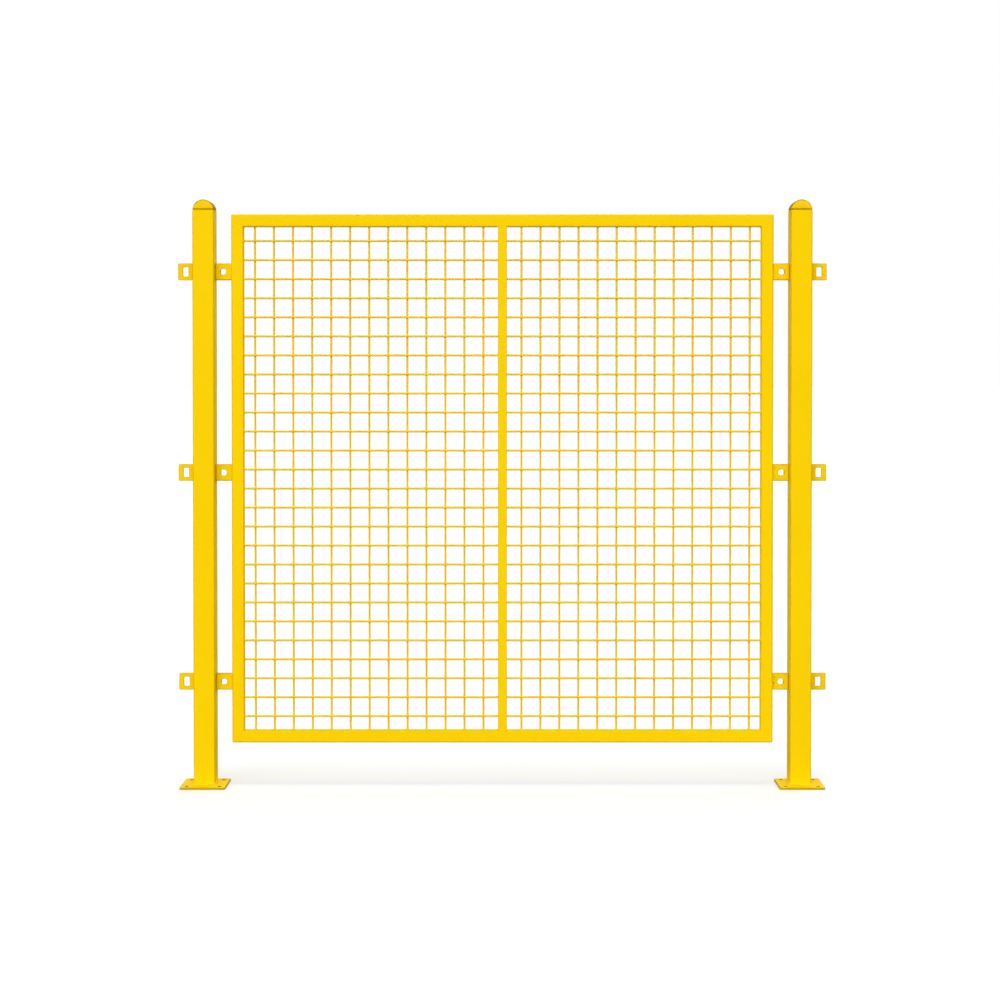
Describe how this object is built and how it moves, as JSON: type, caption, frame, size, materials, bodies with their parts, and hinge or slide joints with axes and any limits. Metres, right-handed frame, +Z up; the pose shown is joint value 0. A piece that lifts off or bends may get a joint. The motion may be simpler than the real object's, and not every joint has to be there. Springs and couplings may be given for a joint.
{
  "type": "machine guard fence panel",
  "caption": "Bay of safety fence: framed wire mesh panel bolted by ears between two square posts with round-topped caps, on bolted floor plates.",
  "frame": {"origin": "on the floor under the left post's axis, on the underside of its floor plate", "axes": "+X runs along the fence to the right post, +Z is up, -Y faces the people outside and +Y the guarded machine"},
  "size_m": [1.806, 0.125, 1.631],
  "materials": {
    "yellow_coat": "satin yellow powder coat on steel",
    "cap_plastic": "moulded yellow plastic"
  },
  "bodies": {
    "root": {"left_post": "yellow_coat", "right_post": "yellow_coat", "left_post_cap": "cap_plastic", "right_post_cap": "cap_plastic", "left_base_plate": "yellow_coat", "right_base_plate": "yellow_coat", "top_rail": "yellow_coat", "bottom_rail": "yellow_coat", "left_stile": "yellow_coat", "right_stile": "yellow_coat", "centre_bar": "yellow_coat", "mesh_left": "yellow_coat", "mesh_right": "yellow_coat", "left_outer_ear_lower": "yellow_coat", "left_outer_ear_middle": "yellow_coat", "left_outer_ear_upper": "yellow_coat", "right_outer_ear_lower": "yellow_coat", "right_outer_ear_middle": "yellow_coat", "right_outer_ear_upper": "yellow_coat", "left_inner_ear_lower": "yellow_coat", "left_inner_ear_middle": "yellow_coat", "left_inner_ear_upper": "yellow_coat", "right_inner_ear_lower": "yellow_coat", "right_inner_ear_middle": "yellow_coat", "right_inner_ear_upper": "yellow_coat", "left_panel_ear_lower": "yellow_coat", "left_panel_ear_middle": "yellow_coat", "left_panel_ear_upper": "yellow_coat", "right_panel_ear_lower": "yellow_coat", "right_panel_ear_middle": "yellow_coat", "right_panel_ear_upper": "yellow_coat"}
  },
  "joints": []
}
